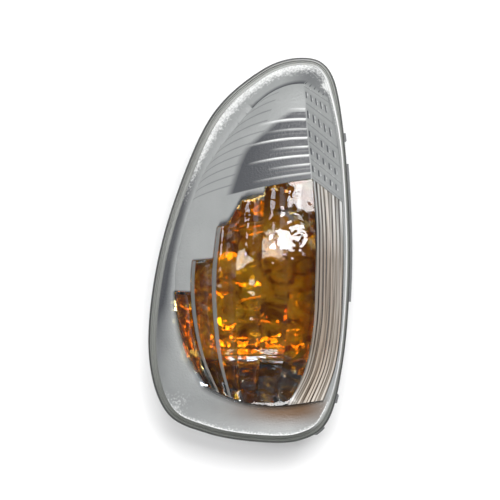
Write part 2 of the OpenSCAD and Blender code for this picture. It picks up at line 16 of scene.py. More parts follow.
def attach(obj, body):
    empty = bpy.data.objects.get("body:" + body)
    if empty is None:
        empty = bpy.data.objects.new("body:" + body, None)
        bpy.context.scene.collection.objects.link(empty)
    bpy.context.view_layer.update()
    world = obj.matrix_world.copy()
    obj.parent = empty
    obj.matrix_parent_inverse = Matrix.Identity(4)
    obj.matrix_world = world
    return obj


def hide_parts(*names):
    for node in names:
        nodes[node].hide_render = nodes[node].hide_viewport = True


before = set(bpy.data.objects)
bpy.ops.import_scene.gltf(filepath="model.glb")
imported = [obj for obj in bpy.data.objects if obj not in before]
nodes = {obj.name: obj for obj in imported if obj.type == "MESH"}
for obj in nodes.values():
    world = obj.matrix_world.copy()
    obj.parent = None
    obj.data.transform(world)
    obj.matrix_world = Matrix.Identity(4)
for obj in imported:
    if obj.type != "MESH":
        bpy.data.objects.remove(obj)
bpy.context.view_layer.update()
print("nodes:", sorted(nodes))

# %% [markdown]
# The lens is worked out from the same plan as the CAD model: four smooth curves, given in
# shares of half the width and half the length. Curves through a few chosen points are easy
# to read and to change, which a traced list of points would not be. The outline closes on
# itself. The window has a left edge, a ridge and a right edge, all from the wide end to the
# tip, and corner_steps says at which outline points its corners lie.

# %% Plan of the lamp, in metres
MM = 0.001
half_width = 34 * MM
half_length = 65 * MM

outline_shape = [(-0.83, -0.845), (-0.42, -0.955), (0.08, -0.999), (0.5, -0.99),
                 (0.78, -0.885), (0.92, -0.6), (0.99, -0.21), (0.99, 0.19), (0.92, 0.66),
                 (0.8, 0.925), (0.54, 1), (0.12, 0.938), (-0.38, 0.7), (-0.745, 0.27),
                 (-0.955, -0.155), (-1.005, -0.56)]
window_left = [(-0.41, -0.7), (-0.6, -0.53), (-0.705, -0.345), (-0.735, -0.16),
               (-0.69, 0.02), (-0.58, 0.22), (-0.4, 0.43), (0.03, 0.73)]
window_ridge = [(0.36, -0.79), (0.52, -0.615), (0.605, -0.385), (0.625, -0.14),
                (0.625, 0.11), (0.595, 0.355), (0.555, 0.6), (0.525, 0.85)]
window_right = [(0.72, -0.77), (0.84, -0.59), (0.895, -0.39), (0.913, -0.185),
                (0.915, 0.03), (0.905, 0.245), (0.875, 0.475), (0.76, 0.78)]
corner_steps = [0, 4.1, 8.5, 11.6, 16]


def to_plan(points):
    return np.array(points, float) * [half_width, half_length]


outline_points = to_plan(outline_shape)
left_points = to_plan(window_left)
ridge_points = to_plan(window_ridge)
right_points = to_plan(window_right)
print("plan:", 2 * half_width / MM, "by", 2 * half_length / MM, "mm")

# %% [markdown]
# Blender has curve objects, but a short function is handier here, because the mesh needs
# single points on the curves. Each piece of a Catmull-Rom spline runs between its two middle
# points and leans on their neighbours, so the whole curve goes through every point.

# %% Smooth curves through the points
def spline(a, b, c, d, t):
    return 0.5 * (2 * b + (c - a) * t + (2 * a - 5 * b + 4 * c - d) * t ** 2
                  + (3 * b - a - 3 * c + d) * t ** 3)


def closed_curve(points, x):
    n = len(points)
    i = int(math.floor(x))
    return spline(*(points[(i + k) % n] for k in (-1, 0, 1, 2)), x - i)


def open_curve(points, u):
    last = len(points) - 1
    x = u * last
    i = min(int(x), last - 1)
    picks = (max(i - 1, 0), i, i + 1, min(i + 2, last))
    return spline(*(points[k] for k in picks), x - i)


print("ridge runs to", [round(float(c) / MM, 1) for c in open_curve(ridge_points, 1)], "mm")

# %% [markdown]
# The window is a grid. Columns run from the left edge (s = 0) over the ridge (s = 1) to the
# steep side (s = 2), rows run from the wide end (v = 0) to the tip (v = 1). The outer face is
# smooth: it climbs from the land to the ridge and drops steeply on the other side. In the
# narrow end the slats are arched, so the rows of the grid arch with them.

# %% Outer face of the window
flange_low = 28 * MM
flange_top = 30.4 * MM
ridge_rise = 19 * MM
land_rise = 7 * MM
side_rise = 6 * MM
crown_power = 0.7
side_power = 1.25
row_bow = 2.2 * MM
slat_arch = 2.6 * MM
slat_start = 0.714


def arch(t):
    return 4 * t * (1 - t)


def slat_lift(s, v):
    if v <= slat_start:
        return 0
    up = math.sin(math.pi * (v - slat_start) / (1 - slat_start))
    return slat_arch * arch(math.sqrt(s)) * up


def grid_point(s, v):
    left = open_curve(left_points, v)
    ridge = open_curve(ridge_points, v)
    right = open_curve(right_points, v)
    top = ridge_rise * (1 - 0.5 * (2 * v - 1) ** 2)
    if s <= 1:
        x, y = left + (ridge - left) * s
        y += arch(s) * row_bow * (2 * v - 1) + slat_lift(s, v)
        climb = math.sin(math.pi / 2 * s) ** crown_power
        rise = land_rise + (top - land_rise) * climb
    else:
        x, y = ridge + (right - ridge) * (s - 1)
        rise = top + (side_rise - top) * (s - 1) ** side_power
    return np.array([x, y, flange_top + rise])


print("mid ridge at", [round(float(c) / MM, 1) for c in grid_point(1, 0.5)], "mm")

# %% [markdown]
# The inner face is the outer one lowered by the wall and by the optics: round-backed flutes,
# slats like shallow saw teeth, fine flutes on the steep side and small blocks near the tip.
# The CAD model has the same optics with two or three facets each. Here each gets enough
# columns to bend light smoothly. flute_steps says how many steps up each wide flute reaches.

# %% Optics on the inner face
lens_wall = 2 * MM
flute_count = 6
flute_depth = 0.9 * MM
flute_power = 1.18
flute_steps = [6.5, 8.5, 11.5, 12, 12, 12]
step_count = 12
slat_count = 11
slat_depth = 0.7 * MM
slat_crest = 0.8
fine_count = 8
fine_depth = 0.45 * MM
block_depth = 0.5 * MM

flute_columns = 12
fine_columns = 6
step_rows = 6
slat_rows = 8
left_cells = flute_count * flute_columns
right_cells = fine_count * fine_columns
s_cells = left_cells + right_cells
v_lower = step_count * step_rows
v_cells = v_lower + slat_count * slat_rows


def s_of(i):
    if i <= left_cells:
        return (i / left_cells) ** flute_power
    return 1 + (i - left_cells) / right_cells


def v_of(j):
    if j <= v_lower:
        return slat_start * j / v_lower
    return slat_start + (1 - slat_start) * (j - v_lower) / (v_cells - v_lower)


def wall_way(s):
    t = 0 if s <= 1 else min(1, 1.5 * (s - 1))
    return np.array([-0.6 * t, 0, -1 + 0.2 * t])


def block_place(i, j):
    """Where a point lies in its block: 0 to 4 along the lamp, 0 to 3 across it."""
    return (j - v_lower) / slat_rows * 2 % 4, (i - left_cells) / fine_columns * 2 % 3


def relief(i, j):
    if i in (0, left_cells, s_cells) or j in (0, v_cells):
        return 0
    if i < left_cells:
        if j > v_lower:
            tooth = (j - v_lower) % slat_rows / slat_rows
            rising = tooth < slat_crest
            return slat_depth * (tooth / slat_crest if rising else (1 - tooth) / (1 - slat_crest))
        if j < flute_steps[i // flute_columns] * step_rows:
            return flute_depth * arch(i % flute_columns / flute_columns)
        return 0
    if j <= v_lower:
        column = (i - left_cells) % fine_columns / fine_columns
        return fine_depth * (1 - abs(2 * column - 1))
    along, across = block_place(i, j)
    return block_depth if along >= 2 and 0.6 < across < 1.8 else 0


outer = np.array([[grid_point(s_of(i), v_of(j)) for i in range(s_cells + 1)]
                  for j in range(v_cells + 1)])
inner = np.array([[outer[j, i] + wall_way(s_of(i)) * (lens_wall + relief(i, j))
                   for i in range(s_cells + 1)] for j in range(v_cells + 1)])
print("window grid:", s_cells, "by", v_cells, "cells, ridge at",
      round(float(outer[:, :, 2].max()) / MM, 2), "mm")

# %% [markdown]
# Round the window run the satin land, the side wall and the grooved flange. They are rings:
# closed loops of points, each a known way in from the outline and at a known height. Every
# ring has one point for each point of the window's edge, so that joining ring to ring is
# simple. The functions here walk round that edge and find the matching place on the outline.

# %% Walk round the window's edge
ring_count = 2 * (s_cells + v_cells)
ridge_share = 0.72


def edge_cell(k):
    if k < s_cells:
        return k, 0
    if k < s_cells + v_cells:
        return s_cells, k - s_cells
    if k < 2 * s_cells + v_cells:
        return 2 * s_cells + v_cells - k, v_cells
    return 0, ring_count - k


def width_share(i):
    s = s_of(i)
    return s * ridge_share if s <= 1 else ridge_share + (1 - ridge_share) * (s - 1)


def outline_step(k):
    i, j = edge_cell(k)
    a, b, c, d, e = corner_steps
    if k < s_cells:
        return a + (b - a) * width_share(i)
    if k < s_cells + v_cells:
        return b + (c - b) * v_of(j)
    if k < 2 * s_cells + v_cells:
        return c + (d - c) * (1 - width_share(i))
    return d + (e - d) * (1 - v_of(j))


outline = np.array([closed_curve(outline_points, outline_step(k)) for k in range(ring_count)])
way = np.roll(outline, -1, 0) - np.roll(outline, 1, 0)
inward = np.stack([-way[:, 1], way[:, 0]], 1) / np.linalg.norm(way, axis=1)[:, None]
print("points on each ring:", ring_count)

# %% [markdown]
# The flange is the thin rim that is welded to the housing. It is narrower on the steep side.
# The land rises a little towards the window and rolls over a rounded shoulder to the side
# wall. More rings make a rounder edge, so the shoulder and the groove have the most.

# %% Rings of the land, the wall and the flange
flange_width = 2.8 * MM
narrow_share = 0.55
wall_rise = 5 * MM
lens_draft = 0.8 * MM
shoulder_r = 1.0 * MM


def flange_share(k):
    if k <= s_cells or k >= s_cells + v_cells:
        return 1.0
    return 1 - (1 - narrow_share) * min(1, 1.6 * arch(v_of(k - s_cells)))


flange_shares = np.array([flange_share(k) for k in range(ring_count)])


def ring(flange_part, further, height):
    flat = outline + inward * (flange_part * flange_shares + further)[:, None]
    return np.column_stack([flat, np.full(len(flat), height)])


wall_top = flange_top + wall_rise
land_foot = ring(flange_width, lens_draft, wall_top)
window_edge = np.array([outer[edge_cell(k)[1], edge_cell(k)[0]] for k in range(ring_count)])
land_rings = [land_foot + (window_edge - land_foot) * share + [0, 0, arch(share) * 0.5 * MM]
              for share in (0.8, 0.6, 0.4, 0.2, 0.08)]
shoulder_rings = [ring(flange_width, lens_draft - shoulder_r * 0.55 * math.sin(a),
                       wall_top - shoulder_r * (1 - math.cos(a)))
                  for a in np.radians([20, 45, 70, 90])]
foot_rings = [ring(flange_width, 0.3 * MM, flange_top + 0.08 * MM),
              ring(flange_width, -0.1 * MM, flange_top)]
groove_rings = [ring(flange_width / 2 + d * MM, 0, flange_top - z * MM)
                for d, z in ((0.4, 0), (0.3, 0.25), (0.12, 0.45), (-0.12, 0.45), (-0.3, 0.25),
                             (-0.4, 0))]
edge_rings = [ring(0, 0.5 * MM, flange_top), ring(0, 0.15 * MM, flange_top - 0.15 * MM),
              ring(0, 0, flange_top - 0.5 * MM), ring(0, 0, flange_low + 0.4 * MM),
              ring(0, 0.12 * MM, flange_low)]
inner_rings = [ring(flange_width, lens_wall, flange_low),
               ring(flange_width, lens_draft + lens_wall, wall_top - lens_wall)]
satin_ring_count = len(land_rings) + 1 + len(shoulder_rings)
rings = (land_rings + [land_foot] + shoulder_rings + foot_rings + groove_rings + edge_rings
         + inner_rings)
print("rings:", len(rings), "of", ring_count, "points")

# %% [markdown]
# The mould of the real lens is polished where the wide flutes are and spark-eroded round
# them. A rule gives every grid point its share of satin. The border is a step at the end of
# a flute, but on the third and fourth flutes it swings up in a curve, which is written
# through a few points like the outline.

# %% Where the lens is satin
satin_edge = to_plan([(-0.4, 0.118), (-0.33, 0.118), (-0.209, 0.142), (-0.135, 0.206),
                      (-0.088, 0.254), (-0.026, 0.272), (0.094, 0.28)])
satin_edge_blur = 0.8 * MM
curved_flutes = (2, 3)
columns = s_cells + 1


def above_satin_edge(i, j):
    x, y = outer[j, i, :2]
    return y - np.interp(x, satin_edge[:, 0], satin_edge[:, 1])


def satin_amount(i, j):
    if j > v_lower:
        return 1.0
    if i >= left_cells:
        return 0.0
    flute = i // flute_columns
    if j > flute_steps[flute] * step_rows:
        return 1.0
    if flute in curved_flutes:
        return float(np.clip(0.5 + above_satin_edge(i, j) / satin_edge_blur, 0, 1))
    return 0.0


def over_grid(rule):
    return np.array([[rule(i, j) for i in range(columns)] for j in range(v_cells + 1)])


satin_grid = over_grid(satin_amount)
print("satin share of the window:", round(float(satin_grid.mean()), 2))

# %% [markdown]
# Some edges catch the light and some look dark, because of reflections inside the plastic
# that a satin surface would not show by itself. So more rules mark them, and the materials
# turn the marks into lighter and darker tints. gleam marks the crests of the fine flutes and,
# among the blocks, a bright bar on each block and a thin line over each row. line marks the
# bright teeth of the slats near the ridge, each slat with its own reach and strength.

# %% Where the window catches the light
block_glint = 0.6
row_line = 0.35
row_line_margin = 3
line_reach = [0.5, 0.62, 0.45, 0.64, 0.4, 0.55, 0.45, 0.75]
line_light = [0.6, 0.9, 1.3, 1.0, 1.3, 0.6, 1.2, 1.0]
line_fade = 0.3
tooth_shares = {5: 0.35, 6: 1.0}
between_share = 0.12


def gleam_amount(i, j):
    if i < left_cells:
        return 0.0
    if j <= v_lower:
        return float((i - left_cells) % fine_columns in (2, 3, 4))
    along, across = block_place(i, j)
    if 0.9 < along < 1.1 and i < s_cells - row_line_margin:
        return row_line
    return block_glint if 2.2 < along < 3.4 and 1.5 < across < 2.2 else 0.0


def line_amount(i, j):
    if i >= left_cells or j <= v_lower:
        return 0.0
    slat, row = divmod(j - v_lower, slat_rows)
    if slat >= len(line_light):
        return 0.0
    between = between_share if row == 2 and slat % 2 else 0.0
    reach = float(np.clip((s_of(i) - line_reach[slat]) / line_fade, 0, 1))
    return line_light[slat] * tooth_shares.get(row, between) * reach


gleam_grid = over_grid(gleam_amount)
line_grid = over_grid(line_amount)
print("bright lines on", len(line_light), "slats")

# %% [markdown]
# This dark mark is painted shade for what looks dark: a short bar beside each block's bright
# one, the lower side of the row lines, the foot of each slat, the curved border of the satin,
# and the part of the slats near the ridge. That part is clear on the real lens and shows the
# dark deck below, which is painted here.
# Clear slats sparkle too much, so they are satin with a painted dark tint instead, which
# fades out along a curve of its own.

# %% Where the window looks dark
clear_points = to_plan([(0.53, 0.70), (0.38, 0.69), (0.16, 0.6), (-0.04, 0.5), (-0.14, 0.36),
                        (-0.2, 0.26), (-0.22, 0.16)])
clear_curve = np.array([open_curve(clear_points, t) for t in np.linspace(0, 1, 60)])
clear_blur = 3.0 * MM
clear_dark = 0.95
bar_dark = 0.8
block_dark = 0.1
block_margin = 5
border_dark = 0.9
border_middle = 0.3
border_width = 0.7
top_dark = 0.8
step_dark = 0.4
step_reach = 0.55


def slat_clearness(i, j):
    x, y = outer[j, i, :2]
    if i >= left_cells or y > clear_curve[0, 1]:
        return 0.0
    gap = x - np.interp(y, clear_curve[::-1, 1], clear_curve[::-1, 0])
    return float(np.clip(0.5 + gap / clear_blur, 0, 1))


def block_painted_shade(i, j):
    along, across = block_place(i, j)
    if 0.6 < along < 0.8:
        return row_line
    if along < 2 or i > s_cells - block_margin:
        return 0.0
    return bar_dark if along < 3.4 and 0.6 < across < 1.2 else block_dark


def painted_shade_amount(i, j):
    if j <= v_lower:
        if not 2 * flute_columns < i < 4 * flute_columns:
            return 0.0
        away = (above_satin_edge(i, j) / MM - border_middle) / border_width
        return float(border_dark * math.exp(-away ** 2))
    if i > left_cells:
        return block_painted_shade(i, j)
    if j >= v_cells - 1:
        return top_dark
    slat_foot = (j - v_lower) % slat_rows == 0 and s_of(i) < step_reach
    return max(step_dark if slat_foot else 0.0, clear_dark * slat_clearness(i, j))


painted_shade_grid = over_grid(painted_shade_amount)
across_grid = over_grid(lambda i, j: max(0.0, (i - left_cells) / fine_columns))
print("darkest crease:", round(float(painted_shade_grid.max()), 2))

# %% [markdown]
# The rings need the same marks, painted into the colour the same way. The eroded shoulder gets
# a painted glitter at the upper left and along the foot, painted shade down the left side, and
# a painted highlight in three corners. The land gets a little painted shade at the wide end and
# on the steep side of the tip, and the outer edge of the rim is painted dark. All along the
# steep side, the foot of the wall has a thin painted highlight line. A ring's number counts
# outwards from the window, and each dictionary gives a share for some rings. direction holds
# each point's place on the outline, from -1 to 1 both ways.

# %% Light and shade on the rings
direction = outline / [half_width, half_length]
glitter_shares = {2: 0.3, 3: 0.7, 4: 1, 5: 1, 6: 1, 7: 0.9, 8: 0.4}
shade_shares = {0: 0.15, 1: 0.4, 2: 0.62, 3: 0.78, 4: 0.85, 5: 0.9, 6: 0.9, 7: 0.9, 8: 0.9,
                9: 0.9}
foot_shares = {4: 0.2, 5: 0.7, 6: 1.5}
highlights = [((25.3, 54.4), 1.8, 1.0), ((26, -54), 3, 0.7), ((-23.6, -50.6), 3, 0.4)]
highlight_rings = 8
glitter_gain = 1.7
glitter_limit = 1.2
rim_edge_dark = 0.85
dark_edge_rings = 4
tip_dark = 0.4
foot_dark = 0.2
rim_line_light = 1.4

lit = 2.5 * np.clip(direction[:, 1] - 0.1 * direction[:, 0] - 0.3, 0, 0.32)
lit *= np.clip(1.6 - 1.4 * direction[:, 0], 0, 1)
left_side = np.clip(-2.2 * direction[:, 0], 0, 1) * np.clip(1 - 1.2 * lit, 0, 1)
left_side *= np.clip((direction[:, 1] + 0.9) / 0.7, 0, 1)
foot = np.clip(-4 * (direction[:, 1] + 0.7), 0, 1)
tip_side = np.clip(3 * (direction[:, 0] - 0.35), 0, 1)
tip_side *= np.clip(4 * (direction[:, 1] - 0.5), 0, 1)
steep_side = np.clip(3 * (direction[:, 0] - 0.6), 0, 1)

ring_gleam = np.zeros((len(rings), ring_count))
ring_painted_shade = np.zeros((len(rings), ring_count))
for r, share in glitter_shares.items():
    ring_gleam[r] = np.clip(share * lit * glitter_gain, 0, glitter_limit)
for r, share in shade_shares.items():
    ring_painted_shade[r] = share * left_side
for r, share in foot_shares.items():
    ring_gleam[r] += share * foot
ring_painted_shade[:len(land_rings)] += tip_dark * tip_side + foot_dark * foot
wall_foot = slice(satin_ring_count, satin_ring_count + len(foot_rings))
ring_gleam[wall_foot] += rim_line_light * steep_side
for spot, size, strength in highlights:
    for r in range(highlight_rings):
        away = np.linalg.norm(rings[r][:, :2] / MM - spot, axis=1)
        ring_gleam[r] += strength * np.exp(-(away / size) ** 2)
first_edge = len(rings) - len(inner_rings) - len(edge_rings)
ring_painted_shade[first_edge:first_edge + dark_edge_rings] = rim_edge_dark
print("brightest ring mark:", round(float(ring_gleam.max()), 2))

# %% [markdown]
# One more mark is warm: a painted brown glow at the wide end of the land, where the amber
# filter comes close behind it. The glow is a soft oval, the same formula for the rings and for
# the first row of the window.

# %% Where the amber shines through the land
glow_spot = (12, -53)
glow_size = (14, 4)
glow_strength = 1.2

ring_warm = np.zeros((len(rings), ring_count))
for r in range(len(land_rings)):
    away = np.abs(rings[r][:, :2] / MM - glow_spot) / glow_size
    ring_warm[r] = glow_strength * np.exp(-(away ** 2).sum(1))
warm_grid = np.zeros((v_cells + 1, columns))
warm_grid[0] = [glow_strength * math.exp(-((p[0] / MM - glow_spot[0]) / glow_size[0]) ** 2)
                for p in outer[0]]
print("warmest point of the land:", round(float(ring_warm.max()), 2))

# %% [markdown]
# Now the faces. The outer and inner grids come first, then the rings between their edges, so
# that the lens is one closed shell. Every face remembers its finish as a material slot. Two
# of the wide flutes begin with a narrow grey band, the EDGE finish: painted shade for the
# light that is lost in the groove.

# %% Faces of the lens
CLEAR, SATIN, RIM, FINE, EDGE = range(5)
banded_flutes = (1, 2)
band_columns = 2
grid_size = columns * (v_cells + 1)


def finish_of(i, j):
    if j >= v_lower:
        return SATIN
    if i >= left_cells:
        return FINE
    if satin_grid[j:j + 2, i:i + 2].max() > 0:
        return SATIN
    flute, column = divmod(i, flute_columns)
    return EDGE if column < band_columns and flute in banded_flutes else CLEAR


faces = []
finish = []
for j in range(v_cells):
    for i in range(s_cells):
        a = j * columns + i
        quad = [a, a + 1, a + 1 + columns, a + columns]
        faces.append(quad)
        faces.append([grid_size + q for q in reversed(quad)])
        finish += [finish_of(i, j)] * 2

edge_numbers = [edge_cell(k)[1] * columns + edge_cell(k)[0] for k in range(ring_count)]
rows = [edge_numbers]
rows += [[2 * grid_size + r * ring_count + k for k in range(ring_count)]
         for r in range(len(rings))]
rows.append([grid_size + a for a in edge_numbers])
for r in range(len(rows) - 1):
    for k in range(ring_count):
        m = (k + 1) % ring_count
        faces.append([rows[r][m], rows[r][k], rows[r + 1][k], rows[r + 1][m]])
        satin_row = r < satin_ring_count or r >= len(rows) - 2
        finish.append(SATIN if satin_row else RIM)
print("lens faces:", len(faces))

# %% [markdown]
# from_pydata makes a mesh from plain lists. Smooth shading hides the facets, and edges
# sharper than 24 degrees stay crisp. Each mark becomes a named float attribute with one
# value a point, in the order of the points: outer grid, inner grid, rings. Materials read it
# by name.

# %% Build the lens mesh
crisp_angle = 24


def new_mesh(name, vertices, polygons, slots):
    mesh = bpy.data.meshes.new(name)
    mesh.from_pydata([tuple(p) for p in vertices], [], polygons)
    mesh.polygons.foreach_set("material_index", slots)
    mesh.polygons.foreach_set("use_smooth", [True] * len(mesh.polygons))
    mesh.update()
    piece = bpy.data.objects.new(name, mesh)
    bpy.context.scene.collection.objects.link(piece)
    return piece


points = np.concatenate([outer.reshape(-1, 3), inner.reshape(-1, 3)] + rings)
lens_piece = new_mesh("lens_optic", points, faces, finish)
lens_piece.data.set_sharp_from_angle(angle=math.radians(crisp_angle))

nowhere = np.zeros(ring_gleam.shape)
marks = {"satin": (satin_grid, nowhere + 1), "gleam": (gleam_grid, ring_gleam),
         "painted_shade": (painted_shade_grid, ring_painted_shade), "across": (across_grid, nowhere),
         "line": (line_grid, nowhere), "warm": (warm_grid, ring_warm)}
for label, (on_grid, on_rings) in marks.items():
    layer = lens_piece.data.attributes.new(label, "FLOAT", "POINT")
    values = np.concatenate([on_grid.ravel(), on_grid.ravel(), on_rings.ravel()])
    layer.data.foreach_set("value", values.astype(np.float32))
print("lens points:", len(points), "marks:", sorted(marks))

# %% [markdown]
# Materials are made of nodes, and making nodes by hand fills pages. These helpers keep it
# short: one adds a node with its values, one connects sockets, and three add common nodes.
# Noise uses object coordinates, which here are metres, so a scale of 100 gives blobs of
# about a centimetre.

# %% Helpers for shader nodes
def add_node(tree, kind, settings=None, values=None):
    """One node: settings are its own options, values are for its input sockets."""
    node = tree.nodes.new("ShaderNode" + kind)
    for label, value in (settings or {}).items():
        setattr(node, label, value)
    for label, value in (values or {}).items():
        node.inputs[label].default_value = value
    return node


def connect(tree, *pairs):
    for start, end in pairs:
        tree.links.new(start, end)


def add_noise(tree, scale, detail, distortion=0.0):
    noise = add_node(tree, "TexNoise", values={"Scale": scale, "Detail": detail,
                                               "Distortion": distortion})
    where = add_node(tree, "TexCoord")
    connect(tree, (where.outputs["Object"], noise.inputs["Vector"]))
    return noise


def add_mix(tree, blend="MIX", **values):
    return add_node(tree, "Mix", {"data_type": "RGBA", "blend_type": blend}, values)


def add_ramp(tree, *stops):
    """A colour ramp from pairs of place and colour, in rising order."""
    ramp = add_node(tree, "ValToRGB")
    elements = ramp.color_ramp.elements
    elements[0].position, elements[0].color = stops[0][0], (*stops[0][1], 1)
    elements[1].position, elements[1].color = stops[-1][0], (*stops[-1][1], 1)
    for place, tone in stops[1:-1]:
        elements.new(place).color = (*tone, 1)
    return ramp


def add_mark(tree, label):
    """The value of one of the lens mesh's marks."""
    return add_node(tree, "Attribute", {"attribute_name": label}).outputs["Fac"]


def new_group(name, inputs, outputs):
    group = bpy.data.node_groups.new(name, "ShaderNodeTree")
    for label, kind, value in inputs:
        socket = group.interface.new_socket(label, in_out="INPUT", socket_type=kind)
        if value is not None:
            socket.default_value = value
    for label, kind in outputs:
        group.interface.new_socket(label, in_out="OUTPUT", socket_type=kind)
    return group, group.nodes.new("NodeGroupInput"), group.nodes.new("NodeGroupOutput")


FLOAT = "NodeSocketFloat"
COLOUR = "NodeSocketColor"
print("node helpers ready")

# %% [markdown]
# Three effects are used by several materials, so each is a node group with named sockets. A
# group only gives out values, and the shader that uses them stays in the material. The first
# two are the fine grain that a mould leaves in plastic, and the faint smears of handling,
# which make a polished surface a little rougher here and there.

# %% Groups for grain and smears
grain_group, grain_in, grain_out = new_group(
    "moulded_grain", [("Scale", FLOAT, 900.0)], [("Height", FLOAT), ("Speckle", FLOAT)])
noise = add_noise(grain_group, 5.0, 3.0)
speckle = add_node(grain_group, "TexVoronoi")
where = add_node(grain_group, "TexCoord")
connect(grain_group,
        (where.outputs["Object"], speckle.inputs["Vector"]),
        (grain_in.outputs["Scale"], noise.inputs["Scale"]),
        (grain_in.outputs["Scale"], speckle.inputs["Scale"]),
        (noise.outputs["Fac"], grain_out.inputs["Height"]),
        (speckle.outputs["Distance"], grain_out.inputs["Speckle"]))

smear_group, smear_in, smear_out = new_group(
    "handling_smears", [("Scale", FLOAT, 60.0), ("Low", FLOAT, 0.02), ("High", FLOAT, 0.08)],
    [("Roughness", FLOAT)])
noise = add_noise(smear_group, 5.0, 4.0, 0.6)
spread = add_node(smear_group, "MapRange")
connect(smear_group,
        (smear_in.outputs["Scale"], noise.inputs["Scale"]),
        (noise.outputs["Fac"], spread.inputs["Value"]),
        (smear_in.outputs["Low"], spread.inputs["To Min"]),
        (smear_in.outputs["High"], spread.inputs["To Max"]),
        (spread.outputs["Result"], smear_out.inputs["Roughness"]))
print("groups:", grain_group.name, smear_group.name)

# %% [markdown]
# The third group paints the marks into the colour. The painted shade and a cloudy mottle pull
# the plain colour towards the dark one. Gleam, a painted highlight, pulls it towards the bright
# one, but first loses a fine noise, which breaks it into sparkle. Line, a painted highlight too,
# is added after that and stays whole, because the slats of the real lens end in clean bright
# edges.

# %% Group that paints light and shade from the marks
mottle_share = 0.45
tint_group, tint_in, tint_out = new_group(
    "painted_light_and_shade", [("Plain", COLOUR, None), ("Gleam", COLOUR, None), ("Crease", COLOUR, None),
                   ("Sparkle", FLOAT, 0.0)], [("Color", COLOUR)])
mottle = add_noise(tint_group, 70.0, 6.0)
darker = add_node(tint_group, "Math", {"operation": "MULTIPLY_ADD", "use_clamp": True},
                  {1: mottle_share})
to_crease = add_mix(tint_group)
connect(tint_group,
        (mottle.outputs["Fac"], darker.inputs[0]),
        (add_mark(tint_group, "painted_shade"), darker.inputs[2]),
        (darker.outputs["Value"], to_crease.inputs["Factor"]),
        (tint_in.outputs["Plain"], to_crease.inputs["A"]),
        (tint_in.outputs["Crease"], to_crease.inputs["B"]))

cloud = add_noise(tint_group, 1300.0, 4.0)
sharp = add_node(tint_group, "MapRange", values={"From Min": 0.4, "From Max": 0.64,
                                                 "To Min": -1.0, "To Max": 0.0})
broken = add_node(tint_group, "Mix", values={"A": 0.0})
sparkling = add_node(tint_group, "Math", {"operation": "ADD", "use_clamp": True})
with_lines = add_node(tint_group, "Math", {"operation": "ADD", "use_clamp": True})
to_gleam = add_mix(tint_group)
connect(tint_group,
        (cloud.outputs["Fac"], sharp.inputs["Value"]),
        (tint_in.outputs["Sparkle"], broken.inputs["Factor"]),
        (sharp.outputs["Result"], broken.inputs["B"]),
        (add_mark(tint_group, "gleam"), sparkling.inputs[0]),
        (broken.outputs["Result"], sparkling.inputs[1]),
        (sparkling.outputs["Value"], with_lines.inputs[0]),
        (add_mark(tint_group, "line"), with_lines.inputs[1]),
        (with_lines.outputs["Value"], to_gleam.inputs["Factor"]),
        (to_crease.outputs["Result"], to_gleam.inputs["A"]),
        (tint_in.outputs["Gleam"], to_gleam.inputs["B"]),
        (to_gleam.outputs["Result"], tint_out.inputs["Color"]))
print("group:", tint_group.name, "with", len(tint_group.nodes), "nodes")

# %% [markdown]
# Each material has one Principled shader. A value that is the same all over goes straight
# onto its socket, and a value that varies comes from a group or from noise. rippled adds
# soft bulges, which break up what is seen in a surface or through it.

# %% Helpers for materials
def new_material(name, **values):
    """A material whose shader gets these plain values, with _ for a space in their names."""
    material = bpy.data.materials.new(name)
    material.use_nodes = True
    shader = material.node_tree.nodes["Principled BSDF"]
    for label, value in values.items():
        value = (*value, 1) if isinstance(value, tuple) else value
        shader.inputs[label.replace("_", " ")].default_value = value
    return material, shader


def place_group(material, group, **values):
    return add_node(material.node_tree, "Group", {"node_tree": group}, values)


def add_bump(material, shader, height, strength, distance):
    tree = material.node_tree
    bump = add_node(tree, "Bump", values={"Strength": strength, "Distance": distance})
    connect(tree, (height, bump.inputs["Height"]),
            (bump.outputs["Normal"], shader.inputs["Normal"]))


def smeared(material, shader, scale, low, high):
    smear = place_group(material, smear_group, Scale=scale, Low=low, High=high)
    connect(material.node_tree, (smear.outputs["Roughness"], shader.inputs["Roughness"]))


def grained(material, shader, scale, strength, distance):
    grain = place_group(material, grain_group, Scale=scale)
    add_bump(material, shader, grain.outputs["Height"], strength, distance)
    return grain


def rippled(material, shader, scale, distance):
    noise = add_noise(material.node_tree, scale, 0.0, 0.8)
    add_bump(material, shader, noise.outputs["Fac"], 1.0, distance)


# plain is the surface's own colour; the gleam and dark colours are painted highlight and shade.
def tinted(material, shader, plain, gleam, painted_shade, sparkle=0.0):
    tint = place_group(material, tint_group, Plain=(*plain, 1), Gleam=(*gleam, 1),
                       Crease=(*painted_shade, 1), Sparkle=sparkle)
    connect(material.node_tree, (tint.outputs["Color"], shader.inputs["Base Color"]))
    return tint


print("material helpers ready")

# %% [markdown]
# The clear acrylic is a real refracting glass: Cycles bends light at both faces, and the
# flutes break the amber behind them into strips. Its ripple is very faint, just enough to
# soften the mirror image of a lamp. The grey bands and the rim are the same acrylic, mostly
# hidden by scattered light, so they let less through and have a grey tint. On the bands that
# grey is painted shade for light lost in the groove, and the rim carries painted shade on its
# outer edge and a painted highlight line at the foot of the wall.

# %% Clear flutes, grey bands and rim
acrylic_ior = 1.49
clear, shader = new_material("clear_acrylic", Base_Color=(0.97, 0.98, 0.98),
                             Transmission_Weight=1.0, IOR=acrylic_ior)
smeared(clear, shader, 55.0, 0.01, 0.06)
rippled(clear, shader, 260.0, 0.00012)

edge, shader = new_material("flute_edge_acrylic", Transmission_Weight=0.55, IOR=acrylic_ior)
tinted(edge, shader, (0.3, 0.31, 0.3), (0.66, 0.64, 0.58), (0.2, 0.2, 0.2))
smeared(edge, shader, 150.0, 0.1, 0.35)

